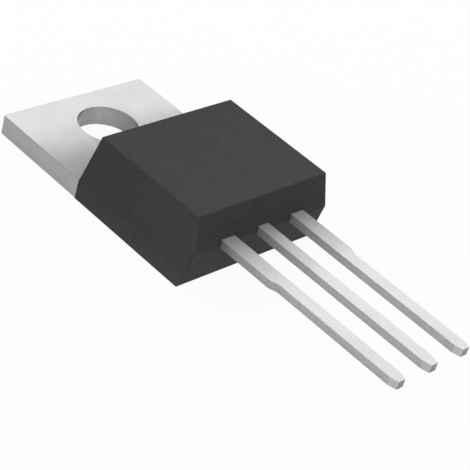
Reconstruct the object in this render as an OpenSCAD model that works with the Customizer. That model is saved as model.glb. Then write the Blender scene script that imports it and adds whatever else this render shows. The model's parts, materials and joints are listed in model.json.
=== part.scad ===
// Triac in a three-lead tab package, with the tab insulated from the leads.
//
// The mounting face lies on Z = 0 and the marking face looks up. The origin is the
// centre of the mounting hole. X runs across the package, the leads run towards -Y,
// and the free end of the tab is at +Y. All sizes are in millimetres and degrees.

/* [Tab] */
// Width of the exposed tab
tab_w = 10.35; // [9.8:0.05:10.6]
// Thickness of the heatsink plate
tab_t = 1.25; // [1:0.05:1.4]
// From the hole's centre to the free end of the tab
hole_to_end = 3.2; // [2.5:0.05:4]
// From the hole's centre to the moulding
hole_to_moulding = 3.65; // [2.8:0.05:4.5]
// Diameter of the mounting hole
hole_d = 3.65; // [3.2:0.05:4.2]
// Radius of the tab's free corners
tab_corner_r = 0.1; // [0.05:0.05:0.6]

/* [Moulding] */
// Width of the moulding at the mounting face
body_w = 10.4; // [10.1:0.05:11]
// Length from the tab to the parting line at the lead end
body_len = 9.15; // [8.9:0.05:10]
// Height of the marking face over the mounting face
body_h = 4.45; // [4.3:0.05:4.9]
// Draft of the two sides
side_draft = 4.4; // [1:0.1:6]
// Draft of the end that stands on the tab
tab_end_draft = 12.3; // [3:0.1:14]
// Draft of the lead end above the parting line
lead_end_draft = 15.7; // [3:0.1:18]
// Slope of the lead end below the parting line
lead_end_relief = 12.4; // [3:0.1:15]
// Radius along the moulded edges
edge_r = 0.2; // [0.1:0.05:0.3]

/* [Leads] */
// Distance between the centre lines of neighbouring leads
lead_pitch = 2.54; // [2.4:0.02:2.7]
// Thickness of the lead frame
lead_t = 0.5; // [0.4:0.05:0.55]
// Width of a lead past its shoulder
lead_w = 0.8; // [0.6:0.05:0.95]
// Length from the parting line to the lead's tip
lead_len = 12.5; // [8:0.1:16]
// Extra width of an outer lead at its root, on the outer side only
shoulder_w = 0.2; // [0.1:0.05:0.5]
// Length from the parting line to the end of the full shoulder
shoulder_len = 3.7; // [1.5:0.1:5]
// Length over which the shoulder tapers away
taper_len = 0.4; // [0.2:0.05:1]
// Width taken off each corner of a tip
tip_cut_w = 0.15; // [0.05:0.05:0.25]
// Length of the bevel at a tip
tip_cut_len = 0.5; // [0.2:0.05:1]

/* [Heatsink under the moulding] */
// From the tab end of the moulding to the ceramic
stack_setback = 0.7; // [0.6:0.05:0.8]
// Plate left uncovered around the ceramic
plate_margin = 0.3; // [0.2:0.05:0.4]
// Depth of the step that locks the plate's edges in the moulding
lock_step = 0.3; // [0.15:0.05:0.4]
// Height of that step
lock_h = 0.6; // [0.3:0.05:0.8]
// Depth of the anchor groove across the plate
groove_d = 0.15; // [0.05:0.05:0.2]

/* [Insulator] */
// Width of the ceramic
ceramic_w = 7.4; // [6.8:0.1:7.6]
// Length of the ceramic
ceramic_len = 5.3; // [5.2:0.05:5.4]
// Thickness of the ceramic
ceramic_t = 0.5; // [0.4:0.05:0.6]
// Thickness of the copper foil on each face of the ceramic
foil_t = 0.2; // [0.15:0.05:0.25]
// Bare ceramic around the lower foil
lower_inset = 0.2; // [0.1:0.05:0.4]
// Bare ceramic around the upper foil
upper_inset = 0.5; // [0.4:0.05:0.6]
// Foil left uncovered around the header
header_inset = 0.1; // [0.05:0.05:0.2]
// Thickness of each solder joint
solder_t = 0.05; // [0.03:0.01:0.08]

/* [Chip] */
// Side of the square chip
chip_w = 3.6; // [3.4:0.1:3.8]
// Thickness of the silicon
chip_t = 0.3; // [0.2:0.02:0.4]
// Thickness of the metal contacts
contact_t = 0.02; // [0.01:0.01:0.04]
// Silicon left outside the glass ring
rim_w = 0.1; // [0.05:0.01:0.15]
// Width of the glass ring
glass_w = 0.25; // [0.15:0.01:0.3]
// Depth of the glass ring
glass_d = 0.08; // [0.04:0.01:0.12]
// Side of the square gate contact
gate_w = 0.9; // [0.8:0.05:1]
// Bare silicon around each contact
contact_gap = 0.15; // [0.1:0.01:0.2]

/* [Clips] */
// Thickness of the clips
clip_t = 0.2; // [0.15:0.01:0.25]
// From the edge of a contact to the clip's foot
foot_inset = 0.15; // [0.1:0.01:0.2]
// Height of a clip's bridge over its foot
clip_rise = 0.3; // [0.2:0.02:0.4]
// Bend radius along the middle of the clip
clip_bend_r = 0.25; // [0.15:0.01:0.3]
// Level run of the bridge past the end of the header
clip_reach = 0.25; // [0.15:0.05:0.4]
// Length of a clip's tail on its lead
tail_len = 1.4; // [1:0.05:1.5]
// Width of the main terminal's tail
mt1_tail_w = 1.3; // [0.9:0.05:1.6]
// Width of the gate's tail
gate_tail_w = 0.8; // [0.5:0.05:1.2]
// Width of the landing at the inner end of an outer lead
landing_w = 2.1; // [1.8:0.05:2.4]
// How far the landing is set outwards from its lead's centre line
landing_shift = 0.2; // [0.1:0.05:0.35]
// Landing left uncovered at each end of a tail
landing_margin = 0.1; // [0.05:0.01:0.2]
// Width of the neck between the middle lead and the header
neck_w = 1.3; // [1:0.05:1.6]
// Radius of the half-round anchor notches
notch_r = 0.15; // [0.05:0.01:0.2]
// From the parting line to the centre of the anchor notches
notch_depth = 0.75; // [0.6:0.05:0.8]

/* [Hidden] */

hole_fn = 96;     // facets round the mounting hole
notch_fn = 48;    // facets round an anchor notch
corner_fn = 32;   // facets round a moulded corner
arc_steps = 6;    // straight steps in each rounded bend or corner
overshoot = 1;    // how far a cutting tool runs past what it cuts

LEFT = -1;        // side of the main terminal 1 lead
RIGHT = 1;        // side of the gate lead

// Heights, from the mounting face upwards through the stack
z_lower_foil = tab_t + solder_t;
z_ceramic = z_lower_foil + foil_t;
z_upper_foil = z_ceramic + ceramic_t;
z_header_solder = z_upper_foil + foil_t;
z_lead = z_header_solder + solder_t;
z_lead_top = z_lead + lead_t;
z_parting = z_lead + lead_t / 2;
z_back_contact = z_lead_top + solder_t;
z_chip = z_back_contact + contact_t;
z_chip_top = z_chip + chip_t;
z_contact_top = z_chip_top + contact_t;
z_foot = z_contact_top + solder_t;
z_tail = z_lead_top + solder_t;

// Places along the package, from the tab towards the lead tips
y_shoulder = -hole_to_moulding;
y_parting = y_shoulder - body_len;
y_tip = y_parting - lead_len;
y_shoulder_end = y_parting - shoulder_len;
y_taper_end = y_shoulder_end - taper_len;
y_notch = y_parting + notch_depth;
y_stack = y_shoulder - stack_setback - ceramic_len / 2;
y_plate_end = y_stack - ceramic_len / 2 - plate_margin;

// Sizes that follow from the ceramic and the chip
plate_w = ceramic_w + 2 * plate_margin;
header_w = ceramic_w - 2 * (upper_inset + header_inset);
header_len = ceramic_len - 2 * (upper_inset + header_inset);
y_header_end = y_stack - header_len / 2;
contact_reach = chip_w / 2 - rim_w - glass_w - contact_gap / 2;

// Inner edges of the two contacts, measured from the chip's centre lines
gate_edge = contact_reach - gate_w;
mt1_edge = gate_edge - contact_gap;

// Feet of the clips on the chip, and the way from there down to the leads
foot_reach = contact_reach - foot_inset;
mt1_foot_x = [-foot_reach, mt1_edge - foot_inset];
gate_foot_x = [gate_edge + foot_inset, foot_reach];
y_mt1_foot = y_stack + foot_reach;
y_gate_foot = y_stack - gate_edge - foot_inset;
y_foot_end = y_stack - foot_reach;
y_bridge = y_foot_end - clip_rise;
y_drop = y_header_end - clip_reach;
y_tail = y_drop - (z_foot + clip_rise - z_tail);
y_tail_end = y_tail - tail_len;
landing_x = lead_pitch + landing_shift;
mt1_tail_x = [-landing_x - mt1_tail_w / 2, -landing_x + mt1_tail_w / 2];
gate_tail_x = [landing_x - gate_tail_w / 2, landing_x + gate_tail_w / 2];
y_landing = y_tail + landing_margin;
y_landing_end = y_tail_end - landing_margin;

// ---- Outlines ----

function unit(v) = v / norm(v);
function left_of(v) = [-v[1], v[0]];

// The arc of radius r that rounds the corner at b on the way from a to c.
function corner_arc(a, b, c, r) =
    let (
        to_a = unit(a - b),
        to_c = unit(c - b),
        half = acos(to_a * to_c) / 2,
        centre = b + unit(to_a + to_c) * r / sin(half),
        spoke = unit(b - centre),
        turn = (to_a[0] * to_c[1] - to_a[1] * to_c[0] > 0 ? -1 : 1) * (90 - half)
    )
    [for (i = [0 : arc_steps])
        let (angle = turn * (2 * i / arc_steps - 1))
        centre + r * [spoke[0] * cos(angle) - spoke[1] * sin(angle),
                      spoke[0] * sin(angle) + spoke[1] * cos(angle)]];

// An open path with each of its bends rounded.
function bent_path(p, r) =
    concat([p[0]],
           [for (i = [1 : len(p) - 2]) each corner_arc(p[i - 1], p[i], p[i + 1], r)],
           [p[len(p) - 1]]);

// Direction square to the path at point i, scaled so that a strip keeps its thickness.
function mitre(p, i) =
    let (
        before = unit(p[max(i, 1)] - p[max(i, 1) - 1]),
        after = unit(p[min(i, len(p) - 2) + 1] - p[min(i, len(p) - 2)]),
        normal = unit(left_of(before) + left_of(after))
    )
    normal / (normal * left_of(after));

// Outline of a strip of thickness t that is centred on a path.
function strip_outline(p, t) =
    concat([for (i = [0 : len(p) - 1]) p[i] + mitre(p, i) * t / 2],
           [for (i = [len(p) - 1 : -1 : 0]) p[i] - mitre(p, i) * t / 2]);

// ---- Shared shapes ----

// A flat slab centred on the stack.
module slab(w, l, t, z) {
    translate([-w / 2, y_stack - l / 2, z]) cube([w, l, t]);
}

// A block between two corners in plan.
module pad(x, y, t, z) {
    translate([x[0], y[0], z]) cube([x[1] - x[0], y[1] - y[0], t]);
}

// A sheet piece of the lead frame, from its outline in plan.
module frame_sheet(outline) {
    translate([0, 0, z_lead]) linear_extrude(lead_t) polygon(outline);
}

// Half-round notches on both edges of a lead, filled by the moulding as an anchor.
module anchor_notches(x) {
    for (edge = x)
        translate([edge, y_notch, z_lead - overshoot])
            cylinder(r = notch_r, h = lead_t + 2 * overshoot, $fn = notch_fn);
}

// ---- Moulding ----

function half_width(z) = body_w / 2 - z * tan(side_draft);
function tab_face_y(z) = y_shoulder - (z - tab_t) * tan(tab_end_draft);
function lead_face_y(z) =
    z > z_parting ? y_parting + (z - z_parting) * tan(lead_end_draft)
                  : y_parting + (z_parting - z) * tan(lead_end_relief);

// Two rounded corners of the moulding, one at each side, just inside its end face at y.
module moulded_corners(y, z, draft, inward) {
    x = half_width(z) - edge_r / cos(side_draft);
    for (side = [LEFT, RIGHT])
        translate([side * x, y + inward * edge_r / cos(draft), z]) sphere(edge_r, $fn = corner_fn);
}

// The sharp edge where the mould shuts off against the tab.
module shut_off() {
    translate([0, y_shoulder, 0]) rotate([90, 0, 0]) linear_extrude(edge_r)
        polygon([[-half_width(0), 0], [half_width(0), 0],
                 [half_width(tab_t), tab_t], [-half_width(tab_t), tab_t]]);
}

// The outer form of the moulding, drafted both ways from its parting line.
module moulding_form() {
    z_top = body_h - edge_r;
    difference() {
        hull() {
            shut_off();
            moulded_corners(tab_face_y(z_top), z_top, tab_end_draft, LEFT);
            moulded_corners(lead_face_y(z_top), z_top, lead_end_draft, RIGHT);
            moulded_corners(y_parting, z_parting, lead_end_relief, RIGHT);
            moulded_corners(lead_face_y(0), 0, lead_end_relief, RIGHT);
        }
        translate([-body_w, y_tip, -overshoot]) cube([2 * body_w, -y_tip, overshoot]);
    }
}

module moulded_body() {
    color("#3f3f41") difference() {
        moulding_form();
        heatsink_tab();
        insulator();
        mt1_lead();
        mt2_lead();
        gate_lead();
        chip_assembly();
    }
}

// ---- Heatsink ----

module exposed_plate() {
    linear_extrude(tab_t)
        polygon(bent_path([[tab_w / 2, y_shoulder], [tab_w / 2, hole_to_end],
                           [-tab_w / 2, hole_to_end], [-tab_w / 2, y_shoulder]], tab_corner_r));
}

// The part of the plate inside the moulding, with a coined step round its lower edges.
module buried_plate() {
    pad([-plate_w / 2, plate_w / 2], [y_plate_end, y_shoulder], tab_t - lock_h, lock_h);
    pad([lock_step - plate_w / 2, plate_w / 2 - lock_step],
        [y_plate_end + lock_step, y_shoulder], lock_h, 0);
}

// A V-groove across the plate, between the moulding's end and the ceramic.
module anchor_groove() {
    translate([-plate_w, y_shoulder - stack_setback / 2, tab_t]) rotate([90, 0, 90])
        linear_extrude(2 * plate_w) polygon([[-groove_d, 0], [0, -groove_d], [groove_d, 0]]);
}

module heatsink_tab() {
    color("#dcdce0") difference() {
        union() {
            exposed_plate();
            buried_plate();
        }
        translate([0, 0, -overshoot]) cylinder(d = hole_d, h = tab_t + 2 * overshoot, $fn = hole_fn);
        anchor_groove();
    }
}

// ---- Insulator ----

module tab_solder() {
    color("#b8bcc0")
        slab(ceramic_w - 2 * lower_inset, ceramic_len - 2 * lower_inset, solder_t, tab_t);
}

module lower_foil() {
    color("#c9753d")
        slab(ceramic_w - 2 * lower_inset, ceramic_len - 2 * lower_inset, foil_t, z_lower_foil);
}

module ceramic_insulator() {
    color("#f2efe6") slab(ceramic_w, ceramic_len, ceramic_t, z_ceramic);
}

module upper_foil() {
    color("#c9753d")
        slab(ceramic_w - 2 * upper_inset, ceramic_len - 2 * upper_inset, foil_t, z_upper_foil);
}

module header_solder() {
    color("#b8bcc0") slab(header_w, header_len, solder_t, z_header_solder);
}

module insulator() {
    tab_solder();
    lower_foil();
    ceramic_insulator();
    upper_foil();
    header_solder();
}

// ---- Leads ----

// Plan of the two bevelled corners at a lead's tip, from its right edge to its left.
function tip_points(x) = [
    [x + lead_w / 2, y_tip + tip_cut_len],
    [x + lead_w / 2 - tip_cut_w, y_tip],
    [x - lead_w / 2 + tip_cut_w, y_tip],
    [x - lead_w / 2, y_tip + tip_cut_len],
];

// An outer lead: a landing for its clip, a root that is wider on the outer side, and a
// plain blade. It is drawn on the right and mirrored for the left.
module outer_lead(side) {
    outer = lead_pitch + lead_w / 2;
    inner = lead_pitch - lead_w / 2;
    mirror([side == LEFT ? 1 : 0, 0, 0]) difference() {
        frame_sheet(concat(
            [[inner, y_landing_end],
             [landing_x - landing_w / 2, y_landing_end],
             [landing_x - landing_w / 2, y_landing],
             [landing_x + landing_w / 2, y_landing],
             [landing_x + landing_w / 2, y_landing_end],
             [outer + shoulder_w, y_landing_end],
             [outer + shoulder_w, y_shoulder_end],
             [outer, y_taper_end]],
            tip_points(lead_pitch)));
        anchor_notches([inner, outer + shoulder_w]);
    }
}

module mt1_lead() {
    color("#cfcfd4") outer_lead(LEFT);
}

module gate_lead() {
    color("#cfcfd4") outer_lead(RIGHT);
}

// The middle lead and the header that carries the chip are one stamping.
module mt2_lead() {
    color("#cfcfd4") difference() {
        frame_sheet(concat(
            [[-lead_w / 2, y_landing_end],
             [-neck_w / 2, y_landing_end],
             [-neck_w / 2, y_header_end],
             [-header_w / 2, y_header_end],
             [-header_w / 2, y_header_end + header_len],
             [header_w / 2, y_header_end + header_len],
             [header_w / 2, y_header_end],
             [neck_w / 2, y_header_end],
             [neck_w / 2, y_landing_end],
             [lead_w / 2, y_landing_end]],
            tip_points(0)));
        anchor_notches([-lead_w / 2, lead_w / 2]);
    }
}

// ---- Chip ----

module chip_solder() {
    color("#b8bcc0") slab(chip_w, chip_w, solder_t, z_lead_top);
}

module chip_back_contact() {
    color("#d8d8d0") slab(chip_w, chip_w, contact_t, z_back_contact);
}

module silicon_chip() {
    color("#5a5f6b") difference() {
        slab(chip_w, chip_w, chip_t, z_chip);
        passivation_glass();
    }
}

// The ring of glass that fills the moat round the chip's top face.
module passivation_glass() {
    outer = chip_w - 2 * rim_w;
    inner = outer - 2 * glass_w;
    color("#8fb7a0") difference() {
        slab(outer, outer, glass_d, z_chip_top - glass_d);
        slab(inner, inner, glass_d + 2 * overshoot, z_chip_top - glass_d - overshoot);
    }
}

// The main contact fills the field inside the glass, apart from the gate's corner.
module mt1_contact() {
    color("#e4e4e8") difference() {
        slab(2 * contact_reach, 2 * contact_reach, contact_t, z_chip_top);
        pad([mt1_edge, contact_reach + overshoot],
            [y_stack - contact_reach - overshoot, y_stack - mt1_edge],
            contact_t + 2 * overshoot, z_chip_top - overshoot);
    }
}

module gate_contact() {
    color("#e4e4e8")
        pad([gate_edge, contact_reach],
            [y_stack - contact_reach, y_stack - gate_edge], contact_t, z_chip_top);
}

// ---- Clips ----

// A clip bent down from the chip to an outer lead. Its side view is swept across the
// package and trimmed to its plan, which leads from the foot to the tail.
module clip(foot_x, y_foot, tail_x) {
    z = z_foot + clip_t / 2;
    path = [[y_foot, z], [y_foot_end, z], [y_bridge, z + clip_rise], [y_drop, z + clip_rise],
            [y_tail, z_tail + clip_t / 2], [y_tail_end, z_tail + clip_t / 2]];
    intersection() {
        rotate([90, 0, 90]) linear_extrude(body_w, center = true)
            polygon(strip_outline(bent_path(path, clip_bend_r), clip_t));
        translate([0, 0, z_lead]) linear_extrude(body_h)
            polygon([[foot_x[0], y_foot + overshoot], [foot_x[1], y_foot + overshoot],
                     [foot_x[1], y_bridge], [tail_x[1], y_tail],
                     [tail_x[1], y_tail_end - overshoot], [tail_x[0], y_tail_end - overshoot],
                     [tail_x[0], y_tail], [foot_x[0], y_bridge]]);
    }
}

module mt1_clip() {
    color("#c9753d") clip(mt1_foot_x, y_mt1_foot, mt1_tail_x);
}

module gate_clip() {
    color("#c9753d") clip(gate_foot_x, y_gate_foot, gate_tail_x);
}

module mt1_chip_solder() {
    color("#b8bcc0") pad(mt1_foot_x, [y_foot_end, y_mt1_foot], solder_t, z_contact_top);
}

module gate_chip_solder() {
    color("#b8bcc0") pad(gate_foot_x, [y_foot_end, y_gate_foot], solder_t, z_contact_top);
}

module mt1_lead_solder() {
    color("#b8bcc0") pad(mt1_tail_x, [y_tail_end, y_tail], solder_t, z_lead_top);
}

module gate_lead_solder() {
    color("#b8bcc0") pad(gate_tail_x, [y_tail_end, y_tail], solder_t, z_lead_top);
}

// Everything between the header and the top of the clips.
module chip_assembly() {
    chip_solder();
    chip_back_contact();
    silicon_chip();
    passivation_glass();
    mt1_contact();
    gate_contact();
    mt1_chip_solder();
    gate_chip_solder();
    mt1_clip();
    gate_clip();
    mt1_lead_solder();
    gate_lead_solder();
}

moulded_body();
heatsink_tab();
tab_solder();
lower_foil();
ceramic_insulator();
upper_foil();
header_solder();
mt2_lead();
chip_solder();
chip_back_contact();
silicon_chip();
passivation_glass();
mt1_contact();
gate_contact();
mt1_chip_solder();
gate_chip_solder();
mt1_clip();
gate_clip();
mt1_lead_solder();
gate_lead_solder();
mt1_lead();
gate_lead();
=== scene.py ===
"""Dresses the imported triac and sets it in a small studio.

The stamped and moulded pieces that can be seen are built again with their rolled
edges and moulded radii, every other piece keeps its solid and gets its own finish,
and the floor, lamps and camera are put round them. Sizes are in millimetres and
degrees here, and become metres when a mesh is set into the frame.
"""

import json
import logging
import math
from collections.abc import Callable, Iterable, Sequence
from dataclasses import dataclass, replace
from enum import Enum

import bmesh
import bpy
from mathutils import Matrix, Vector


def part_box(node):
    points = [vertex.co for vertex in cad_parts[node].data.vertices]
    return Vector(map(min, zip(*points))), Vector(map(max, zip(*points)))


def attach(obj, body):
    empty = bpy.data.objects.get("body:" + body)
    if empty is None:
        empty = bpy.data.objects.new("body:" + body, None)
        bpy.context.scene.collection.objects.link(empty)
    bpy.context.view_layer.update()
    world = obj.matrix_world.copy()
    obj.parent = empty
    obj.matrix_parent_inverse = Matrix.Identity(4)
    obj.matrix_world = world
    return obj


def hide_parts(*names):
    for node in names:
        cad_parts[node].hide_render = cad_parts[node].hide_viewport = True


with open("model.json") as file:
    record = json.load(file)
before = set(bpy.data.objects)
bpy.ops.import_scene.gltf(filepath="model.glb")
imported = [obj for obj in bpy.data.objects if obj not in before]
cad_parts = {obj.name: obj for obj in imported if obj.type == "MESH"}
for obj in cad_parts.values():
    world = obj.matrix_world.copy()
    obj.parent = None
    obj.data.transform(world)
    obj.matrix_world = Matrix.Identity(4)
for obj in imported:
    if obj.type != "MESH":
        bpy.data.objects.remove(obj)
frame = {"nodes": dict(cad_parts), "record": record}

LOG = logging.getLogger("triac")
MM = 0.001
BODY = "root"
NEAR = 1e-4

NOISE_LOW, NOISE_HIGH = 0.3, 0.7    # nearly all of a noise pattern lies between these
PLAIN, FINE = 2.0, 3.0              # octaves of a plain pattern and of one with finer detail
LENGTHWISE = (0.0, 1.0, 0.0)
UPWARDS = (0.0, 0.0, 1.0)
SHADED_FOLD = 32.0                  # degrees up to which a fold is shaded smoothly
RIM_FOLD = 60.0                     # degrees from which a fold is a stamping's rim
FACING = 0.9                        # least share of a normal for a face to look that way
UPRIGHT = 0.3                       # a normal's greatest rise on an upright face
LARGEST_LEADS = 100                 # lets the largest face decide a corner's shading

# Driving sizes that more than one piece keeps to
BODY_Y = -3.65
PARTING_Y = -12.8
TAB_T = 1.25
LEAD_PITCH = 2.54
LEAD_W = 0.8
SHOULDER_W = 0.2
LEAD_Z = 2.25
LEAD_T = 0.5

Point = tuple[float, float]
Place = tuple[float, float, float]
Colour = tuple[float, float, float]
Socket = bpy.types.NodeSocket
Thing = bpy.types.Object
Vert, Edge, Face = bmesh.types.BMVert, bmesh.types.BMEdge, bmesh.types.BMFace


def same(*numbers: float) -> bool:
    """Tells whether numbers are the same but for rounding."""
    return max(numbers) - min(numbers) < NEAR


def add(name: str, data: bpy.types.ID) -> Thing:
    """Adds an object to the scene.

    Args:
        name: The object's name.
        data: The mesh, light or camera that it holds.

    Returns:
        The object.
    """
    thing = bpy.data.objects.new(name, data)
    bpy.context.scene.collection.objects.link(thing)
    return thing


class Side(Enum):
    """The side of the package that an outer lead stands on."""

    LEFT = -1
    RIGHT = 1


class Grain(Enum):
    """How a surface's fine lines run, as stretch factors along x, y and z."""

    EVEN = (1.0, 1.0, 1.0)
    ROLLED = (1.0, 0.04, 1.0)
    SHEARED = (1.0, 1.0, 0.12)


# ---- Node materials ----


class Graph:
    """A node material being put together round one Principled shader."""

    def __init__(self, name: str) -> None:
        """Starts a material.

        Args:
            name: The material's name.
        """
        self.material = bpy.data.materials.new(name)
        self.material.use_nodes = True
        self.tree = self.material.node_tree
        self.shader = self.tree.nodes["Principled BSDF"]
        self.position = self.tree.nodes.new("ShaderNodeTexCoord").outputs["Object"]

    def set(self, **values: float) -> None:
        """Sets plain numbers on the shader's own sockets, by their names with underscores."""
        for name, value in values.items():
            self.shader.inputs[name.replace("_", " ")].default_value = value

    def link(self, source: Socket, target: Socket) -> None:
        """Joins two sockets."""
        self.tree.links.new(source, target)

    def node(self, kind: str, inputs: dict[str | int, Socket | float | Sequence[float]],
             **settings: str) -> bpy.types.Node:
        """Adds a node.

        Args:
            kind: The node's type, without the word that all types start with.
            inputs: What its inputs are given, each a socket or a plain value.
            settings: The node's own settings.

        Returns:
            The node.
        """
        node = self.tree.nodes.new("ShaderNode" + kind)
        for name, value in settings.items():
            setattr(node, name, value)
        for key, value in inputs.items():
            if isinstance(value, Socket):
                self.link(value, node.inputs[key])
            else:
                node.inputs[key].default_value = value
        return node

    def noise(self, size: float, detail: float = PLAIN, grain: Grain = Grain.EVEN,
              distortion: float = 0.0) -> Socket:
        """Adds a noise pattern fixed to the piece.

        Args:
            size: Size of the pattern's features in millimetres.
            detail: Octaves of finer noise.
            grain: Direction in which the features are drawn out.
            distortion: How far the pattern swirls.

        Returns:
            The pattern's value, from 0 to 1.
        """
        mapping = self.node("Mapping", {"Vector": self.position,
                                        "Scale": [s / (size * MM) for s in grain.value]})
        noise = self.node("TexNoise", {"Vector": mapping.outputs["Vector"], "Scale": 1.0,
                                       "Detail": detail, "Distortion": distortion})
        return noise.outputs["Fac"]

    def along(self, direction: Place) -> Socket:
        """Adds the place along a direction.

        Args:
            direction: The direction.

        Returns:
            The place, in metres times the direction's length.
        """
        dot = self.node("VectorMath", {0: self.position, 1: direction}, operation="DOT_PRODUCT")
        return dot.outputs["Value"]

    def spread(self, value: Socket, low: float, high: float,
               start: float = 0.0, end: float = 1.0, soft: bool = False) -> Socket:
        """Maps a value from one range to another.

        Args:
            value: What is mapped.
            low: Result at the start of the range.
            high: Result at the end of the range.
            start: Where the range starts.
            end: Where the range ends.
            soft: Whether it eases in and out.

        Returns:
            The mapped value, held between low and high.
        """
        ends = {"From Min": start, "From Max": end, "To Min": low, "To Max": high}
        course = "SMOOTHSTEP" if soft else "LINEAR"
        node = self.node("MapRange", {"Value": value, **ends}, interpolation_type=course)
        return node.outputs["Result"]

    def swing(self, pattern: Socket, middle: float, reach: float) -> Socket:
        """Turns a noise pattern into a value up to a reach on either side of a middle."""
        return self.spread(pattern, middle - reach, middle + reach, NOISE_LOW, NOISE_HIGH)

    def share(self, pattern: Socket, depth: float) -> Socket:
        """Turns a noise pattern into a share up to a depth on either side of 1."""
        return self.swing(pattern, 1.0, depth)

    def join(self, operation: str, first: Socket, second: Socket | float = 0.0) -> Socket:
        """Works out a value from two others.

        Args:
            operation: The Math node's operation.
            first: The first value.
            second: The second value, or a plain number.

        Returns:
            The result.
        """
        return self.node("Math", {0: first, 1: second}, operation=operation).outputs["Value"]

    def seen(self) -> Socket:
        """Adds a switch that is 1 where the surface is looked at or mirrored.

        Returns:
            The switch's value.
        """
        path = self.node("LightPath", {})
        either = path.outputs["Is Camera Ray"]
        for name in ("Is Glossy Ray", "Is Transmission Ray"):
            either = self.join("MAXIMUM", either, path.outputs[name])
        return either

    def tone(self, colour: Colour, *shares: Socket) -> None:
        """Links the base colour, made lighter or darker by patterns.

        Args:
            colour: The plain colour.
            shares: Patterns that multiply its lightness, each about 1.
        """
        whole = shares[0]
        for share in shares[1:]:
            whole = self.join("MULTIPLY", whole, share)
        shade = self.node("VectorMath", {0: colour, "Scale": whole}, operation="SCALE")
        self.link(shade.outputs["Vector"], self.shader.inputs["Base Color"])

    def gloss(self, roughness: float, reach: float, *patterns: Socket) -> None:
        """Links the roughness, uneven by patterns.

        Args:
            roughness: The plain roughness.
            reach: How far the first pattern takes it up or down.
            patterns: The pattern, and any roughness that is added to it.
        """
        whole = self.swing(patterns[0], roughness, reach)
        for more in patterns[1:]:
            whole = self.join("ADD", whole, more)
        self.link(whole, self.shader.inputs["Roughness"])

    def relief(self, *layers: tuple[Socket, float]) -> None:
        """Raises the surface by one or more patterns.

        Args:
            layers: Pairs of a pattern and its depth in millimetres, coarsest first.
        """
        coarser = {}
        for pattern, depth in layers:
            bump = self.node("Bump", {"Height": pattern, "Strength": 1.0,
                                      "Distance": depth * MM, **coarser})
            coarser = {"Normal": bump.outputs["Normal"]}
        self.link(coarser["Normal"], self.shader.inputs["Normal"])


@dataclass(frozen=True)
class Finish:
    """A name, a colour, its gloss, and how uneven they are.

    By itself it is a plain solid with a fine relief: solder, copper, ceramic or glass.
    """

    name: str
    colour: Colour
    roughness: float
    metallic: float = 0.0
    specular: float = 0.5
    patch_size: float = 1.5
    patch_depth: float = 0.04
    patch_swirl: float = 0.3
    gloss_range: float = 0.04
    relief_size: float = 0.1
    relief_depth: float = 0.002
    grain: Grain = Grain.EVEN

    def make(self) -> bpy.types.Material:
        """Builds the material.

        Returns:
            The finished node material.
        """
        graph = Graph(self.name)
        graph.set(Metallic=self.metallic, Specular_IOR_Level=self.specular)
        self.dress(graph)
        return graph.material

    def dress(self, graph: Graph) -> None:
        """Adds colour, gloss and relief.

        Args:
            graph: The material in work.
        """
        patches = graph.noise(self.patch_size, FINE, distortion=self.patch_swirl)
        relief = graph.noise(self.relief_size, FINE, self.grain)
        graph.tone(self.colour, graph.share(patches, self.patch_depth))
        graph.gloss(self.roughness, self.gloss_range, relief)
        graph.relief((relief, self.relief_depth))


@dataclass(frozen=True)
class MouldedEpoxy(Finish):
    """Filled epoxy out of a spark-eroded mould: matt, finely pitted, with filler specks in it.

    Its colour carries painted light and shade: lighter towards the lead end, lighter at the foot
    where the floor lights it, and darker on its walls than on its top.
    """

    relief_size: float = 0.07
    relief_depth: float = 0.005
    pit_size: float = 0.2
    pit_depth: float = 0.007
    flow_size: float = 2.6
    flow_swirl: float = 0.6
    flow_depth: float = 0.008
    speck_size: float = 0.1
    speck_swirl: float = 0.3
    speck_depth: float = 0.16
    painted_lead_end_light: float = 1.12
    painted_tab_end_shade: float = 0.95
    painted_foot_light: float = 1.15
    painted_wall_shade: float = 0.9
    foot_height: float = 1.6
    crown_low: float = 4.36
    crown_high: float = 4.44

    def dress(self, graph: Graph) -> None:
        """Adds the filler specks, the eroded texture, the flow marks, and the painted light and
        shade along and up the body.

        Args:
            graph: The material in work.
        """
        relief = graph.noise(self.relief_size)
        pits = graph.noise(self.pit_size, FINE)
        flow = graph.noise(self.flow_size, distortion=self.flow_swirl)
        specks = graph.noise(self.speck_size, distortion=self.speck_swirl)
        # painted light lengthwise: lighter towards the lead end, darker towards the tab end
        drift = graph.spread(graph.along(LENGTHWISE), self.painted_lead_end_light, self.painted_tab_end_shade,
                             PARTING_Y * MM, BODY_Y * MM)
        height = graph.along(UPWARDS)
        # painted light at the foot and painted shade up the walls; crown takes the wall's shade
        # back off the top
        wall = graph.spread(height, self.painted_foot_light, self.painted_wall_shade, 0.0,
                            self.foot_height * MM, soft=True)
        crown = graph.spread(height, 1.0, 1 / self.painted_wall_shade,
                             self.crown_low * MM, self.crown_high * MM)
        graph.tone(self.colour, graph.share(flow, self.patch_depth),
                   graph.share(specks, self.speck_depth), drift, wall, crown)
        graph.gloss(self.roughness, self.gloss_range, pits)
        graph.relief((flow, self.flow_depth), (pits, self.pit_depth),
                     (relief, self.relief_depth))


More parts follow.
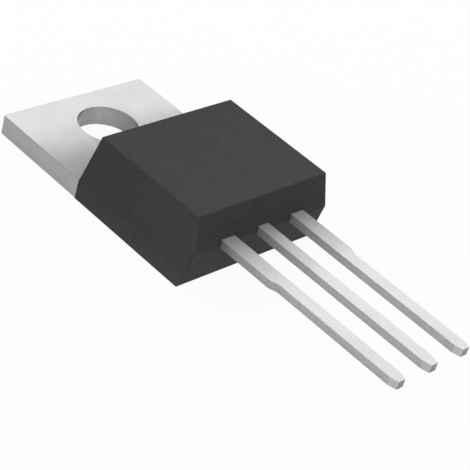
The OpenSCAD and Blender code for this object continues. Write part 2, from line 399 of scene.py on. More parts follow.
@dataclass(frozen=True)
class PaintedShadeAndDulling:
    """The plating beside the moulding, with painted shade on its colour and a rougher gloss, both
    fading away from the moulding.
    """

    start: float
    end: float
    # how dark the painted shade is next to the moulding
    shade: float = 0.64
    roughness: float = 0.24
    slant: float = 0.0
    wobble_size: float = 1.4
    wobble: float = 0.35

    def spread(self, graph: Graph, low: float, high: float) -> Socket:
        """Runs a value from next to the moulding to where the painted shade and the rougher gloss
        have faded out.

        Args:
            graph: The material in work.
            low: The value next to the moulding.
            high: The value away from the moulding.

        Returns:
            The value there.
        """
        wobble = graph.swing(graph.noise(self.wobble_size, FINE), 0.0, self.wobble * MM)
        place = graph.along((self.slant, 1.0, 0.0))
        return graph.spread(graph.join("ADD", place, wobble), low, high,
                            self.start * MM, self.end * MM, soft=True)


@dataclass(frozen=True)
class RolledPlate(Finish):
    """Matt tin over rolled strip: faint lines along the strip and a fine crystal grain."""

    metallic: float = 1.0
    patch_swirl: float = 0.4
    relief_size: float = 0.06
    relief_depth: float = 0.0016
    grain: Grain = Grain.ROLLED
    # painted shade, with a rougher gloss, beside the moulding
    painted_shade_and_dulling: PaintedShadeAndDulling | None = None
    crystal_size: float = 0.1
    crystal_shade: float = 0.04
    crystal_depth: float = 0.003
    wave_size: float = 1.3
    wave_depth: float = 0.004

    def dress(self, graph: Graph) -> None:
        """Adds patches and crystals of plating, the strip's lines, its waviness, and the painted
        shade and rougher gloss beside the moulding.

        Args:
            graph: The material in work.
        """
        patches = graph.noise(self.patch_size, FINE, distortion=self.patch_swirl)
        lines = graph.noise(self.relief_size, FINE, self.grain)
        crystals = graph.noise(self.crystal_size)
        graph.tone(self.colour, graph.share(patches, self.patch_depth),
                   graph.share(crystals, self.crystal_shade), *self.broad_tones(graph))
        rough = [lines]
        # the rougher gloss that goes with the painted shade beside the moulding
        if self.painted_shade_and_dulling:
            rough.append(self.painted_shade_and_dulling.spread(graph, self.painted_shade_and_dulling.roughness, 0.0))
        graph.gloss(self.roughness, self.gloss_range, *rough)
        graph.relief((graph.noise(self.wave_size), self.wave_depth),
                     (crystals, self.crystal_depth), (lines, self.relief_depth))

    def broad_tones(self, graph: Graph) -> list[Socket]:
        """Adds the broad changes of tone over the piece: the painted shade beside the moulding.

        Args:
            graph: The material in work.

        Returns:
            Shares of the colour's lightness.
        """
        return [self.painted_shade_and_dulling.spread(graph, self.painted_shade_and_dulling.shade, 1.0)] if self.painted_shade_and_dulling else []


@dataclass(frozen=True)
class PunchedEdge(RolledPlate):
    """The same plating on a punched side: streaks from the punch and a darker break zone."""

    bottom: float = 0.0
    thickness: float = 1.0
    break_share: float = 0.35
    break_blur: float = 0.1
    break_shade: float = 0.93
    streak_shade: float = 0.05
    wander_size: float = 0.6
    wander: float = 0.08
    grain: Grain = Grain.SHEARED

    def dress(self, graph: Graph) -> None:
        """Adds the streaks, and the break zone along the lower edge.

        Args:
            graph: The material in work.
        """
        streaks = graph.noise(self.relief_size, FINE, self.grain)
        patches = graph.noise(self.patch_size, FINE, self.grain)
        wander = graph.swing(graph.noise(self.wander_size, FINE), 0.0,
                             self.wander * self.thickness * MM)
        height = graph.join("ADD", graph.along(UPWARDS), wander)
        line = self.bottom + self.break_share * self.thickness
        blur = self.break_blur * self.thickness
        zone = graph.spread(height, self.break_shade, 1.0, (line - blur) * MM,
                            (line + blur) * MM, soft=True)
        crystals = graph.noise(self.crystal_size)
        # the broad tones add painted shade beside the moulding, or on a bore its painted light and
        # shade
        graph.tone(self.colour, zone, graph.share(patches, self.patch_depth),
                   graph.share(streaks, self.streak_shade),
                   graph.share(crystals, self.crystal_shade), *self.broad_tones(graph))
        graph.gloss(self.roughness, self.gloss_range, streaks)
        graph.relief((streaks, self.relief_depth), (crystals, self.crystal_depth))


@dataclass(frozen=True)
class PunchedBore(PunchedEdge):
    """A punched hole's wall, painted lighter where it crosses a line at a bearing and darker away
    from it: painted reflection and shade.
    """

    bearing: float = -45.0
    painted_light_at: float = -0.35
    painted_light_reach: float = 0.4
    painted_shade_reach: float = 2.15
    painted_bore_shade: float = 0.55

    def broad_tones(self, graph: Graph) -> list[Socket]:
        """Adds the painted shade that falls away from the painted light along the bearing.

        Args:
            graph: The material in work.

        Returns:
            The share of the colour's lightness, in a list.
        """
        # painted reflection and shade on the bore's wall
        turn = math.radians(self.bearing)
        place = graph.along((math.cos(turn), math.sin(turn), 0.0))
        away = graph.join("ABSOLUTE", graph.join("SUBTRACT", place, self.painted_light_at * MM))
        return [graph.spread(away, 1.0, self.painted_bore_shade, self.painted_light_reach * MM,
                             self.painted_shade_reach * MM)]


@dataclass(frozen=True)
class FloorPaper(Finish):
    """Pale paper. Looked at, it is nearly white, and it keeps the package's shadow."""

    relief_size: float = 0.4
    relief_depth: float = 0.001
    fibre_detail: float = 4.0
    fibre_shade: float = 0.01
    glow: float = 0.94

    def dress(self, graph: Graph) -> None:
        """Adds the fibres, and mixes in the white that is seen.

        Args:
            graph: The material in work.
        """
        graph.set(Roughness=self.roughness)
        fibres = graph.noise(self.relief_size, self.fibre_detail)
        graph.tone(self.colour, graph.share(fibres, self.fibre_shade))
        graph.relief((fibres, self.relief_depth))
        white = graph.node("Emission", {"Strength": 1.0})
        mixer = graph.node("MixShader", {
            "Fac": graph.join("MULTIPLY", graph.seen(), self.glow),
            1: graph.shader.outputs["BSDF"], 2: white.outputs["Emission"]})
        surface = graph.tree.nodes["Material Output"].inputs["Surface"]
        graph.link(mixer.outputs["Shader"], surface)


# ---- Mesh work ----


class Blank:
    """A mesh in work, in millimetres, shaped with bmesh operators."""

    def __init__(self) -> None:
        """Starts an empty mesh."""
        self.bm = bmesh.new()

    def wire(self, points: Sequence[Place]) -> list[Edge]:
        """Joins a few points into a closed wire.

        Args:
            points: The wire's corners in order.

        Returns:
            Its edges, the first from the first corner to the second.
        """
        verts = [self.bm.verts.new(p) for p in points]
        return [self.bm.edges.new((a, b)) for a, b in zip(verts, verts[1:] + verts[:1])]

    def fill(self, edges: Iterable[Edge]) -> list[Face]:
        """Closes a flat wire with one face.

        Args:
            edges: The wire.

        Returns:
            The new face, in a list.
        """
        return bmesh.ops.contextual_create(self.bm, geom=list(edges))["faces"]

    def extrude(self, faces: Iterable[Face], move: Place) -> list[Vert]:
        """Draws faces out as one region. A sheet keeps its first faces as its back.

        Args:
            faces: The faces to draw out.
            move: How far they go.

        Returns:
            The moved vertices.
        """
        faces = list(faces)
        on_solid = all(e.is_manifold for f in faces for e in f.edges)
        made = bmesh.ops.extrude_face_region(self.bm, geom=faces)["geom"]
        if on_solid:
            bmesh.ops.delete(self.bm, geom=faces, context="FACES")
        verts = [g for g in made if isinstance(g, Vert)]
        bmesh.ops.translate(self.bm, verts=verts, vec=move)
        return verts

    def faces(self, test: Callable[[Vector], bool]) -> list[Face]:
        """Finds the faces whose middle passes a test."""
        return [f for f in self.bm.faces if test(f.calc_center_median())]

    def edges(self, test: Callable[[Vector, Vector], bool]) -> list[Edge]:
        """Finds the edges whose two ends pass a test."""
        return [e for e in self.bm.edges if test(e.verts[0].co, e.verts[1].co)]

    def folds(self, angle: float) -> list[Edge]:
        """Finds the edges where the surface turns by more than an angle in degrees."""
        self.face_out()
        return [e for e in self.bm.edges if e.calc_face_angle(0.0) > math.radians(angle)]

    def rim(self, z: float) -> list[Edge]:
        """Finds the edges of a stamping's outline at a height."""
        return [e for e in self.folds(RIM_FOLD) if same(z, *(v.co.z for v in e.verts))]

    def cut(self, faces: Iterable[Face], through: Place, across: Place) -> None:
        """Cuts faces along a plane.

        Args:
            faces: The faces to cut.
            through: A point on the plane.
            across: The plane's normal.
        """
        faces = list(faces)
        geom = set(faces)
        for f in faces:
            geom.update(f.edges, f.verts)
        bmesh.ops.bisect_plane(self.bm, geom=list(geom), dist=NEAR, plane_co=through,
                               plane_no=across)

    def bevel(self, edges: Iterable[Edge], width: float, segments: int) -> None:
        """Rounds edges.

        Args:
            edges: The edges to round.
            width: How far the rounding reaches from each edge.
            segments: Steps round it.
        """
        bmesh.ops.bevel(self.bm, geom=list(edges), offset=width, offset_type="OFFSET",
                        segments=segments, profile=0.5, affect="EDGES", clamp_overlap=True,
                        material=-1, loop_slide=True)

    def face_out(self) -> None:
        """Turns every face outwards."""
        bmesh.ops.recalc_face_normals(self.bm, faces=self.bm.faces)

    def sharpen(self) -> None:
        """Shades the surface smoothly except across its sharper folds."""
        for f in self.bm.faces:
            f.smooth = True
        for e in self.folds(SHADED_FOLD):
            e.smooth = False

    def keep_true(self) -> None:
        """Keeps the shading of level and upright faces true up to their rounded edges."""
        for e in self.bm.edges:
            tilts = {round(abs(f.normal.z), 3) for f in e.link_faces}
            if len(tilts) > 1 and tilts & {0.0, 1.0}:
                e.smooth = False

    def place(self, name: str, *finishes: Finish) -> Thing:
        """Sets the mesh into the frame as an object.

        Args:
            name: The piece's name.
            finishes: Its finishes in the order of the faces' numbers.

        Returns:
            The object, at the origin and in metres.
        """
        bmesh.ops.remove_doubles(self.bm, verts=self.bm.verts, dist=NEAR)
        self.face_out()
        bmesh.ops.scale(self.bm, vec=(MM, MM, MM), verts=self.bm.verts)
        mesh = bpy.data.meshes.new(name)
        self.bm.to_mesh(mesh)
        self.bm.free()
        for finish in finishes:
            mesh.materials.append(finish.make())
        return add(name, mesh)


class Pen:
    """Draws the outline of a stamping on a blank, corner by corner."""

    def __init__(self, blank: Blank, x: float, y: float, z: float) -> None:
        """Puts the pen down.

        Args:
            blank: What it draws on.
            x: Where it starts across the package.
            y: Where it starts along the package.
            z: The height of the drawing.
        """
        self.blank, self.z = blank, z
        self.start = self.tip = blank.bm.verts.new((x, y, z))
        self.drawn: list[Edge] = []

    def to(self, *points: Point) -> None:
        """Draws straight lines from corner to corner.

        Args:
            points: The corners, in order.
        """
        for x, y in points:
            corner = self.blank.bm.verts.new((x, y, self.z))
            self.drawn.append(self.blank.bm.edges.new((self.tip, corner)))
            self.tip = corner

    def round(self, x: float, y: float, steps: int) -> None:
        """Draws half a circle about a centre, anticlockwise.

        Args:
            x: The centre's place across the package.
            y: The centre's place along the package.
            steps: Straight steps in it.
        """
        before = set(self.blank.bm.edges)
        made = bmesh.ops.spin(self.blank.bm, geom=[self.tip], cent=(x, y, self.z),
                              axis=UPWARDS, angle=math.pi, steps=steps,
                              use_duplicate=False)["geom_last"]
        self.drawn += [e for e in self.blank.bm.edges if e not in before]
        self.tip = next(g for g in made if isinstance(g, Vert))

    def close(self) -> list[Face]:
        """Draws the last line and fills the outline.

        Returns:
            The filled face, in a list.
        """
        self.drawn.append(self.blank.bm.edges.new((self.tip, self.start)))
        return self.blank.fill(self.drawn)


def settle(piece: Thing, node: str) -> None:
    """Puts a new piece in the place of a solid, and reports how well it fits there.

    Args:
        piece: The new piece.
        node: The solid that it stands for.
    """
    weighted = piece.modifiers.new("weighted_normals", "WEIGHTED_NORMAL")
    weighted.mode = "FACE_AREA"
    weighted.weight = LARGEST_LEADS
    weighted.keep_sharp = True
    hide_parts(node)
    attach(piece, BODY)
    corners = [Vector(c) for c in piece.bound_box]
    low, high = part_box(node)
    off = max(max(abs(min(c[k] for c in corners) - low[k]),
                  abs(max(c[k] for c in corners) - high[k])) for k in range(3))
    LOG.info("%s: %d faces, at most %.3f mm from its solid's box", piece.name,
             len(piece.data.polygons), off / MM)


# ---- The package ----


@dataclass
class Moulding:
    """The epoxy body, drafted both ways from the plane of the lead frame."""

    epoxy: Finish
    width: float = 10.4
    y_tab: float = BODY_Y
    y_parting: float = PARTING_Y
    height: float = 4.45
    z_shut_off: float = TAB_T
    z_parting: float = LEAD_Z + LEAD_T / 2
    side_draft: float = 4.4
    tab_end_draft: float = 12.3
    lead_end_draft: float = 15.7
    lead_end_relief: float = 12.4
    edge_reach: float = 0.09
    edge_steps: int = 5
    parting_reach: float = 0.12
    parting_steps: int = 4
    opening_gap: float = 0.05
    opening_depth: float = 0.1
    window_w: float = 7.4
    window_end: float = -9.65
    window_depth: float = 0.65

    def half_width(self, z: float) -> float:
        """Gives half the body's width at a height."""
        return self.width / 2 - z * math.tan(math.radians(self.side_draft))

    def profile(self) -> list[Place]:
        """Lists the corners of one side.

        Returns:
            The corners, from the foot at the tab round to the foot at the leads.
        """
        top = self.y_tab - (self.height - self.z_shut_off) * math.tan(
            math.radians(self.tab_end_draft))
        brow = self.y_parting + (self.height - self.z_parting) * math.tan(
            math.radians(self.lead_end_draft))
        foot = self.y_parting + self.z_parting * math.tan(math.radians(self.lead_end_relief))
        sides = [(self.y_tab, 0.0), (self.y_tab, self.z_shut_off), (top, self.height),
                 (brow, self.height), (self.y_parting, self.z_parting), (foot, 0.0)]
        return [(self.half_width(z), y, z) for y, z in sides]

    def openings(self) -> list[Point]:
        """Lists the leads' openings.

        Returns:
            Where the gap round each lead starts and ends across the package.
        """
        inner = LEAD_W / 2 + self.opening_gap
        root = inner + SHOULDER_W
        return [(-LEAD_PITCH - root, -LEAD_PITCH + inner), (-inner, inner),
                (LEAD_PITCH - inner, LEAD_PITCH + root)]

    def form(self, blank: Blank) -> None:
        """Makes the plain drafted form, still with sharp edges.

        Args:
            blank: What it is made on.
        """
        side = blank.fill(blank.wire(self.profile()))
        far_side = blank.extrude(side, (0, 0, 0))
        bmesh.ops.scale(blank.bm, vec=(-1, 1, 1), verts=far_side)

    def round_edges(self, blank: Blank) -> None:
        """Rounds the moulded edges. The two at the tab run out sharp where the mould shuts off.

        Args:
            blank: The plain form.
        """
        def rounded(a: Vector, b: Vector) -> bool:
            """Tells whether the mould rounds the edge between two corners."""
            top, clear_of_tab = max(a.z, b.z), max(a.y, b.y) < self.y_tab - NEAR
            return top > self.z_shut_off + NEAR or (top > NEAR and clear_of_tab)

        corners = [v.co.copy() for v in blank.bm.verts if same(v.co.z, self.z_shut_off)]
        edges = [e for e in blank.edges(rounded)
                 if not same(self.z_parting, *(v.co.z for v in e.verts))]
        blank.bevel(edges, self.edge_reach, self.edge_steps)
        for corner in corners:
            near = [v for v in blank.bm.verts if v.co.z < self.z_shut_off + NEAR
                    and v.co.z > NEAR and (v.co - corner).length < 2 * self.edge_reach]
            bmesh.ops.pointmerge(blank.bm, verts=near, merge_co=corner)
        parting = blank.edges(lambda a, b: same(self.z_parting, a.z, b.z) and same(a.y, b.y))
        blank.bevel(parting, self.parting_reach, self.parting_steps)

    def relieve_leads(self, blank: Blank) -> None:
        """Sinks the narrow gap that the mould leaves round each lead where it comes out.

        Args:
            blank: The rounded form.
        """
        low, high = LEAD_Z - self.opening_gap, LEAD_Z + LEAD_T + self.opening_gap

        def band(left: float, right: float) -> list[Face]:
            """Finds the lead end's faces at the openings' height, between two places across."""
            return [f for f in blank.faces(lambda c: left < c.x < right and low < c.z < high)
                    if f.normal.y < -FACING]

        for z in (low, high):
            end = [f for f in blank.bm.faces if f.normal.y < -FACING]
            blank.cut(end, (0, 0, z), UPWARDS)
        for opening in self.openings():
            for x in opening:
                blank.cut(band(-self.width, self.width), (x, 0, 0), (1, 0, 0))
        for opening in self.openings():
            blank.extrude(band(*opening), (0, self.opening_depth, 0))

    def open_window(self, blank: Blank) -> None:
        """Sinks the window in the mounting face that the heatsink's plate fills.

        Args:
            blank: The rounded form.
        """
        def underside() -> list[Face]:
            """Finds the faces of the mounting face."""
            return blank.faces(lambda c: abs(c.z) < NEAR)

        for x in (-self.window_w / 2, self.window_w / 2):
            blank.cut(underside(), (x, 0, 0), (1, 0, 0))
        blank.cut(underside(), (0, self.window_end, 0), LENGTHWISE)
        window = blank.faces(lambda c: abs(c.z) < NEAR and abs(c.x) < self.window_w / 2
                             and c.y > self.window_end)
        blank.extrude(window, (0, 0, self.window_depth))

    def build(self) -> None:
        """Builds the body in place of its solid."""
        blank = Blank()
        self.form(blank)
        blank.face_out()
        self.round_edges(blank)
        blank.face_out()
        self.relieve_leads(blank)
        self.open_window(blank)
        blank.sharpen()
        for e in blank.edges(lambda a, b: same(self.z_shut_off, a.z, b.z)):
            e.smooth = False
        settle(blank.place("moulding", self.epoxy), "moulded_body")


@dataclass
class Heatsink:
    """The stamped tab with its mounting hole, and the plate behind it in the moulding."""

    face: Finish
    cut_side: Finish
    bore: Finish
    width: float = 10.35
    thickness: float = TAB_T
    y_end: float = 3.2
    y_body: float = BODY_Y
    hole_d: float = 3.65
    hole_steps: int = 96
    corner_r: float = 0.1
    corner_steps: int = 4
    roll: float = 0.05
    roll_steps: int = 3
    rim_roll: float = 0.02
    rim_steps: int = 2
    burr_side: float = 0.03
    plate_w: float = 8.0
    plate_end: float = -9.95
    lock_step: float = 0.3
    lock_z: float = 0.65
    groove_y: float = -4.0
    groove_d: float = 0.15

    def stamp(self, blank: Blank) -> None:
        """Makes the plate round the hole, with rays of faces from the hole to the outline.

        Args:
            blank: What it is made on.
        """
        half = self.width / 2
        outline = blank.wire([(half, self.y_body, 0), (half, self.y_end, 0),
                              (-half, self.y_end, 0), (-half, self.y_body, 0)])
        for edge, steps in zip(outline, self.ray_steps()):
            bmesh.ops.subdivide_edges(blank.bm, edges=[edge], cuts=steps - 1)
        bmesh.ops.create_circle(blank.bm, cap_ends=False, radius=self.hole_d / 2,
                                segments=self.hole_steps)
        bmesh.ops.bridge_loops(blank.bm, edges=blank.bm.edges)
        blank.extrude(list(blank.bm.faces), (0, 0, self.thickness))
        blank.face_out()

    def ray_steps(self) -> list[int]:
        """Shares the hole's steps among the plate's four sides, by the angle each one takes up.

        Returns:
            The steps of the right side, the free end, the left side and the end at the body.
        """
        half = self.width / 2
        end = round(math.atan2(half, self.y_end) / math.pi * self.hole_steps)
        inner = round(math.atan2(half, -self.y_body) / math.pi * self.hole_steps)
        side = (self.hole_steps - end - inner) // 2
        return [side, end, side, self.hole_steps - end - 2 * side]

    def draw_plate(self, blank: Blank) -> None:
        """Draws the buried plate out of the tab's end, with its coined step and its groove.

        Args:
            blank: The stamped tab.
        """
        def end_faces() -> list[Face]:
            """Finds the faces of the tab's end at the body."""
            return blank.faces(lambda c: same(c.y, self.y_body))

        upper, lower = self.plate_w / 2, self.plate_w / 2 - self.lock_step
        for x in (-upper, -lower, lower, upper):
            blank.cut(end_faces(), (x, 0, 0), (1, 0, 0))
        blank.cut(end_faces(), (0, 0, self.lock_z), UPWARDS)
        tee = [f for f in end_faces()
               if abs(f.calc_center_median().x) < (
                   upper if f.calc_center_median().z > self.lock_z else lower)]
        lower_end = self.plate_end + self.lock_step
        blank.extrude(tee, (0, lower_end - self.y_body, 0))
        ledge = blank.faces(lambda c: same(c.y, lower_end) and c.z > self.lock_z)
        blank.extrude(ledge, (0, -self.lock_step, 0))

        def plate_top() -> list[Face]:
            """Finds the faces of the buried plate's upper part."""
            return blank.faces(lambda c: lower_end < c.y < self.y_body - NEAR and c.z > self.lock_z)

        for y in (self.groove_y - self.groove_d, self.groove_y, self.groove_y + self.groove_d):
            blank.cut(plate_top(), (0, y, 0), LENGTHWISE)
        for v in blank.bm.verts:
            if same(v.co.y, self.groove_y) and v.co.z > self.thickness - NEAR:
                v.co.z -= self.groove_d

    def roll_edges(self, blank: Blank) -> None:
        """Rounds the free corners, and rolls the edges that the punch leaves.

        Args:
            blank: The stamped tab.
        """
        corners = blank.edges(lambda a, b: same(self.y_end, a.y, b.y) and same(a.x, b.x)
                              and same(self.width / 2, abs(a.x)))
        blank.bevel(corners, self.corner_r, self.corner_steps)

        def at_hole(e: Edge) -> bool:
            """Tells whether an edge lies on the hole's rim."""
            return all(v.co.xy.length < self.hole_d / 2 + NEAR for v in e.verts)

        for z, reach in ((self.thickness, self.roll), (0.0, self.burr_side)):
            rim = [e for e in blank.rim(z) if max(v.co.y for v in e.verts) > self.y_body + NEAR]
            blank.bevel([e for e in rim if not at_hole(e)], reach, self.roll_steps)
            blank.bevel([e for e in rim if e.is_valid and at_hole(e)], self.rim_roll,
                        self.rim_steps)

    def build(self) -> None:
        """Builds the heatsink in place of its solid."""
        blank = Blank()
        self.stamp(blank)
        self.roll_edges(blank)
        self.draw_plate(blank)
        blank.sharpen()
        blank.keep_true()
        for f in blank.bm.faces:
            in_bore = f.calc_center_median().xy.length < self.hole_d / 2 + NEAR
            f.material_index = (2 if in_bore else 1) if abs(f.normal.z) < UPRIGHT else 0
        piece = blank.place("tab_plate", self.face, self.cut_side, self.bore)
        settle(piece, "heatsink_tab")


@dataclass
class LeadFrame:
    """The three stamped leads, the middle one with the header that carries the chip."""

    face: Finish
    cut_side: Finish
    # the tips' chamfers: a lighter copy of the lead plating, as painted light
    coined: Finish
    # the cut ends: the cut metal's own duller tone, darkened further as painted shade
    cut_end_painted_shade: Finish
    pitch: float = LEAD_PITCH
    z: float = LEAD_Z
    thickness: float = LEAD_T
    width: float = LEAD_W
    y_tip: float = -25.3
    tip_cut_w: float = 0.15
    tip_cut_len: float = 0.5
    chamfer_facing: float = 0.15
    end_facing: float = 0.75
    shoulder_w: float = SHOULDER_W
    y_shoulder_end: float = -16.5
    y_taper_end: float = -16.9
    notch_r: float = 0.15
    notch_steps: int = 12
    y_notch: float = -12.05
    landing_x: float = 2.74
    landing_w: float = 2.1
    y_landing: float = -9.89
    y_landing_end: float = -11.49
    header_w: float = 6.2
    header_len: float = 4.1
    y_header_end: float = -9.05
    neck_w: float = 1.3
    roll: float = 0.04
    burr_side: float = 0.025
    roll_steps: int = 3
    tip_reach: float = 0.045
    tip_side_reach: float = 0.12
    knee_reach: float = 0.12
    corner_fold: float = 10.0
    corner_steps: int = 4

    def tip(self, x: float) -> list[Point]:
        """Lists the corners of a lead's tip.

        Args:
            x: The lead's place across the package.

        Returns:
            The corners, from its right edge to its left.
        """
        side, end = self.width / 2, self.width / 2 - self.tip_cut_w
        y_side = self.y_tip + self.tip_cut_len
        return [(x + side, y_side), (x + end, self.y_tip), (x - end, self.y_tip),
                (x - side, y_side)]

    def outer(self, blank: Blank) -> list[Face]:
        """Draws the outline of the right lead.

        Args:
            blank: What it is drawn on.

        Returns:
            The filled face, in a list.
        """
        inner, edge = self.pitch - self.width / 2, self.pitch + self.width / 2
        root = edge + self.shoulder_w
        low, high = self.landing_x - self.landing_w / 2, self.landing_x + self.landing_w / 2
        pen = Pen(blank, inner, self.y_landing_end, self.z)
        pen.to((low, self.y_landing_end), (low, self.y_landing), (high, self.y_landing),
               (high, self.y_landing_end), (root, self.y_landing_end),
               (root, self.y_notch + self.notch_r))
        pen.round(root, self.y_notch, self.notch_steps)
        pen.to((root, self.y_shoulder_end), (edge, self.y_taper_end), *self.tip(self.pitch),
               (inner, self.y_notch - self.notch_r))
        pen.round(inner, self.y_notch, self.notch_steps)
        return pen.close()

    def middle(self, blank: Blank) -> list[Face]:
        """Draws the outline of the middle lead and its header.

        Args:
            blank: What it is drawn on.

        Returns:
            The filled face, in a list.
        """
        half, neck, header = self.width / 2, self.neck_w / 2, self.header_w / 2
        y_far = self.y_header_end + self.header_len
        pen = Pen(blank, -half, self.y_landing_end, self.z)
        pen.to((-neck, self.y_landing_end), (-neck, self.y_header_end),
               (-header, self.y_header_end), (-header, y_far), (header, y_far),
               (header, self.y_header_end), (neck, self.y_header_end),
               (neck, self.y_landing_end), (half, self.y_landing_end),
               (half, self.y_notch + self.notch_r))
        pen.round(half, self.y_notch, self.notch_steps)
        pen.to(*self.tip(0), (-half, self.y_notch - self.notch_r))
        pen.round(-half, self.y_notch, self.notch_steps)
        return pen.close()

    def finish(self, blank: Blank, sheet: list[Face], name: str, node: str) -> None:
        """Gives a stamping its thickness, its rolled edges and its finish.

        Args:
            blank: What the outline is drawn on.
            sheet: The filled outline.
            name: The piece's name.
            node: The solid that it stands for.
        """
        blank.extrude(sheet, (0, 0, self.thickness))
        blank.face_out()
        upright = [e for e in blank.folds(self.corner_fold)
                   if abs(e.verts[0].co.z - e.verts[1].co.z) > NEAR]
        y_tip_side = self.y_tip + self.tip_cut_len
        places = ((self.y_tip, self.y_tip, self.tip_reach),
                  (y_tip_side, y_tip_side, self.tip_side_reach),
                  (self.y_taper_end, self.y_shoulder_end, self.knee_reach))
        for low, high, reach in places:
            corners = [e for e in upright
                       if e.is_valid and low - NEAR < e.verts[0].co.y < high + NEAR]
            blank.bevel(corners, reach, self.corner_steps)
        for z, reach in ((self.z + self.thickness, self.roll), (self.z, self.burr_side)):
            blank.bevel(blank.rim(z), reach, self.roll_steps)
        blank.sharpen()
        blank.keep_true()
        # tip faces get a finish by where they look: the chamfers painted light, the ends painted
        # shade
        for f in blank.bm.faces:
            at_tip = f.calc_center_median().y < y_tip_side - NEAR
            if abs(f.normal.z) < UPRIGHT:
                f.material_index = 1 + at_tip * ((f.normal.y < -self.chamfer_facing)
                                                 + (f.normal.y < -self.end_facing))
        piece = blank.place(name, self.face, self.cut_side, self.coined, self.cut_end_painted_shade)
        settle(piece, node)

    def build(self) -> None:
        """Builds the three leads in place of their solids."""
        for side in Side:
            blank = Blank()
            sheet = self.outer(blank)
            bmesh.ops.scale(blank.bm, vec=(side.value, 1, 1), verts=blank.bm.verts)
            name, node = (("lead_left", "mt1_lead") if side is Side.LEFT
                          else ("lead_right", "gate_lead"))
            self.finish(blank, sheet, name, node)
        blank = Blank()
        self.finish(blank, self.middle(blank), "lead_middle", "mt2_lead")


@dataclass
class SealedPieces:
    """The pieces inside the moulding, which keep their solids and get their finishes."""

    finishes: dict[str, Finish]

    def dress(self) -> None:
        """Gives each solid the finish of the slot that the record names for it."""
        made = {slot: finish.make() for slot, finish in self.finishes.items()}
        for part in frame["record"]["subparts"]:
            finish = made.get(part["material_slot"])
            if finish:
                for place in frame["nodes"][part["node"]].material_slots:
                    place.material = finish
                LOG.info("%s: %s", part["node"], finish.name)


# ---- The studio ----


def bearing(azimuth: float, elevation: float) -> Vector:
    """Works out a direction from the package.

    Args:
        azimuth: Its bearing in degrees, anticlockwise from +X.
        elevation: Its rise in degrees.

    Returns:
        The direction, of length 1.
    """
    turn, tilt = math.radians(azimuth), math.radians(elevation)
    return Vector((math.cos(tilt) * math.cos(turn), math.cos(tilt) * math.sin(turn),
                   math.sin(tilt)))


@dataclass(frozen=True)
class Lamp:
    """A soft square lamp that looks at the package from a bearing and a height."""

    name: str
    azimuth: float
    power: float
    elevation: float = 30.0
    distance: float = 260.0
    size: float = 170.0
    aim: Place = (0.0, -9.0, 2.0)

    def hang(self) -> None:
        """Hangs the lamp."""
        light = bpy.data.lights.new(self.name, "AREA")
        light.shape, light.size, light.energy = "SQUARE", self.size * MM, self.power
        lamp = add(self.name, light)
        back = bearing(self.azimuth, self.elevation)
        lamp.location = (Vector(self.aim) + back * self.distance) * MM
        lamp.rotation_euler = (-back).to_track_quat("-Z", "Y").to_euler()


@dataclass(frozen=True)
class Viewpoint:
    """The camera, as a direction and a distance from the point it looks at."""

    aim: Place = (0.038, -11.060, 0.868)
    azimuth: float = -142.945
    elevation: float = 34.515
    roll: float = 16.503
    distance: float = 87.987
    lens: float = 123.35
    sensor: float = 36.0
    nearest: float = 1.0
    farthest: float = 10000.0

    def set_up(self) -> None:
        """Makes the camera and hands it to the scene."""
        back = bearing(self.azimuth, self.elevation)
        level = bearing(self.azimuth + 90, 0)
        right = Matrix.Rotation(math.radians(self.roll), 3, back) @ level
        up = back.cross(right)
        data = bpy.data.cameras.new("camera")
        data.lens, data.sensor_width = self.lens, self.sensor
        data.clip_start, data.clip_end = self.nearest * MM, self.farthest * MM
        camera = add("camera", data)
        camera.matrix_world = Matrix.Translation(
            (Vector(self.aim) + back * self.distance) * MM) @ Matrix(
                (right, up, back)).transposed().to_4x4()
        bpy.context.scene.camera = camera


@dataclass
class Studio:
    """A pale floor under soft light."""

    paper: Finish
    lamps: Sequence[Lamp]
    viewpoint: Viewpoint = Viewpoint()
    floor_size: float = 3000.0
    floor_cells: int = 8
    floor_drop: float = 0.01
    sky: Colour = (1.0, 1.0, 1.0)
    sky_strength: float = 0.5

    def lay_floor(self) -> None:
        """Lays the floor just under the package."""
        blank = Blank()
        bmesh.ops.create_grid(blank.bm, x_segments=self.floor_cells, y_segments=self.floor_cells,
                              size=self.floor_size / 2)
        bmesh.ops.translate(blank.bm, verts=blank.bm.verts, vec=(0, 0, -self.floor_drop))
        blank.place("floor", self.paper)

    def hang_sky(self) -> None:
        """Surrounds the studio with soft light."""
        world = bpy.data.worlds.new("sky")
        world.use_nodes = True
        light = world.node_tree.nodes["Background"]
        light.inputs["Color"].default_value = (*self.sky, 1)
        light.inputs["Strength"].default_value = self.sky_strength
        bpy.context.scene.world = world

    def build(self) -> None:
        """Sets up the camera, the floor, the sky and the lamps."""
        self.viewpoint.set_up()
        self.lay_floor()
        self.hang_sky()
        for lamp in self.lamps:
            lamp.hang()
            LOG.info("%s hung", lamp.name)
        bpy.context.scene.view_settings.view_transform = "Standard"


# ---- What is built ----

EPOXY = MouldedEpoxy("moulded_epoxy", (0.052, 0.052, 0.0525), 0.48, specular=0.02,
                     patch_depth=0.03, gloss_range=0.05)
TIN = (0.574, 0.574, 0.582)
BORE_TIN = (0.318, 0.318, 0.321)
LEAD_TIN = (0.662, 0.662, 0.673)
SHEARED_TIN = (0.396, 0.396, 0.399)
SHEARED_LEAD_TIN = (0.438, 0.438, 0.443)
# lighter chamfers at the tips: painted light
PAINTED_LIGHT_CHAMFER_TIN = (0.505, 0.505, 0.512)
# darker cut ends: the cut metal's own tone with painted shade
PAINTED_SHADE_CUT_METAL = (0.302, 0.302, 0.305)
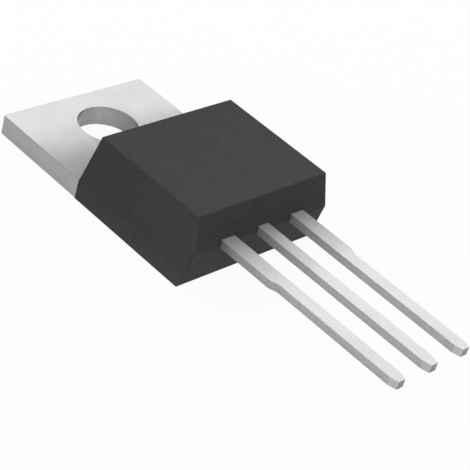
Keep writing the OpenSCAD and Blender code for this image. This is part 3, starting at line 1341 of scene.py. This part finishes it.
# painted shade on the tab's top beside the moulding, with a rougher gloss
TAB_FACE = RolledPlate("tab_plating", TIN, 0.58, patch_depth=0.015, gloss_range=0.03,
                       painted_shade_and_dulling=PaintedShadeAndDulling(-3.75, 1.5, shade=0.74, slant=0.06))
TAB_SIDE = PunchedEdge("tab_punched_side", SHEARED_TIN, 0.56, thickness=TAB_T, patch_depth=0.02)
# the bore's wall carries painted reflection and shade
TAB_BORE = PunchedBore("tab_bore", BORE_TIN, 0.22, thickness=TAB_T, patch_size=0.5,
                       patch_depth=0.06, streak_shade=0.08)
# painted shade on the leads' tops beside the moulding, with a rougher gloss
LEAD_FACE = RolledPlate("lead_plating", LEAD_TIN, 0.58, patch_depth=0.02, crystal_shade=0.03,
                        crystal_depth=0.002,
                        painted_shade_and_dulling=PaintedShadeAndDulling(-12.9, -18.6, shade=0.78, roughness=0.14))
# painted shade on the leads' punched sides beside the moulding
LEAD_SIDE = PunchedEdge("lead_punched_side", SHEARED_LEAD_TIN, 0.56, bottom=LEAD_Z,
                        thickness=LEAD_T, patch_depth=0.03, relief_size=0.05, crystal_shade=0.13,
                        streak_shade=0.08, painted_shade_and_dulling=PaintedShadeAndDulling(-14.3, -19.3, shade=0.85))
# painted light on the tips' chamfers
LEAD_CHAMFER = RolledPlate("lead_chamfer_painted_light", PAINTED_LIGHT_CHAMFER_TIN, 0.56, patch_depth=0.03,
                           grain=Grain.EVEN)
# painted shade on the cut metal of the lead ends
LEAD_END = replace(LEAD_SIDE, name="lead_cut_end_painted_shade", colour=PAINTED_SHADE_CUT_METAL, crystal_shade=0.1,
                   painted_shade_and_dulling=None)
FLOOR_PAPER = FloorPaper("floor_paper", (0.82, 0.82, 0.82), 0.9, specular=0.1)
SEALED_FINISHES = {
    "solder": Finish("soft_solder", (0.50, 0.50, 0.52), 0.42, metallic=1.0,
                          patch_size=0.6, relief_size=0.25, relief_depth=0.004),
    "copper_foil": Finish("bonded_copper", (0.78, 0.36, 0.20), 0.38, metallic=1.0,
                               patch_size=0.8, patch_depth=0.08, relief_size=0.08),
    "alumina": Finish("sintered_alumina", (0.86, 0.84, 0.79), 0.55, patch_size=0.4,
                           relief_size=0.04, relief_depth=0.0015),
    "silicon": Finish("etched_silicon", (0.10, 0.11, 0.13), 0.22, metallic=0.6,
                           patch_size=0.5, relief_size=0.06, relief_depth=0.0005),
    "passivation_glass": Finish("fired_glass", (0.25, 0.45, 0.33), 0.12, patch_size=0.2,
                                     relief_size=0.15, relief_depth=0.001),
    "contact_metal": Finish("sputtered_contact", (0.74, 0.74, 0.76), 0.3, metallic=1.0,
                                 patch_size=0.4, relief_size=0.05, relief_depth=0.0005),
    "copper_clip": Finish("rolled_copper", (0.80, 0.38, 0.22), 0.34, metallic=1.0,
                               patch_depth=0.07, relief_size=0.06, relief_depth=0.001,
                               grain=Grain.ROLLED),
}
LAMPS = (
    Lamp("front_left", -135.0, 0.108),
    Lamp("right", 0.0, 0.143),
    Lamp("back_right", 45.0, 0.13),
    Lamp("back", 90.0, 0.28, elevation=34.0),
    Lamp("left", 180.0, 0.095),
)


def main() -> None:
    """Builds the studio and the package, piece by piece, and notes both boxes."""
    logging.basicConfig(level=logging.INFO, format="%(name)s: %(message)s", force=True)
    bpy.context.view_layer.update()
    Studio(FLOOR_PAPER, LAMPS).build()
    Heatsink(TAB_FACE, TAB_SIDE, TAB_BORE).build()
    LeadFrame(LEAD_FACE, LEAD_SIDE, LEAD_CHAMFER, LEAD_END).build()
    Moulding(EPOXY).build()
    SealedPieces(SEALED_FINISHES).dress()
    bpy.context.view_layer.update()


if __name__ == "__main__":
    main()
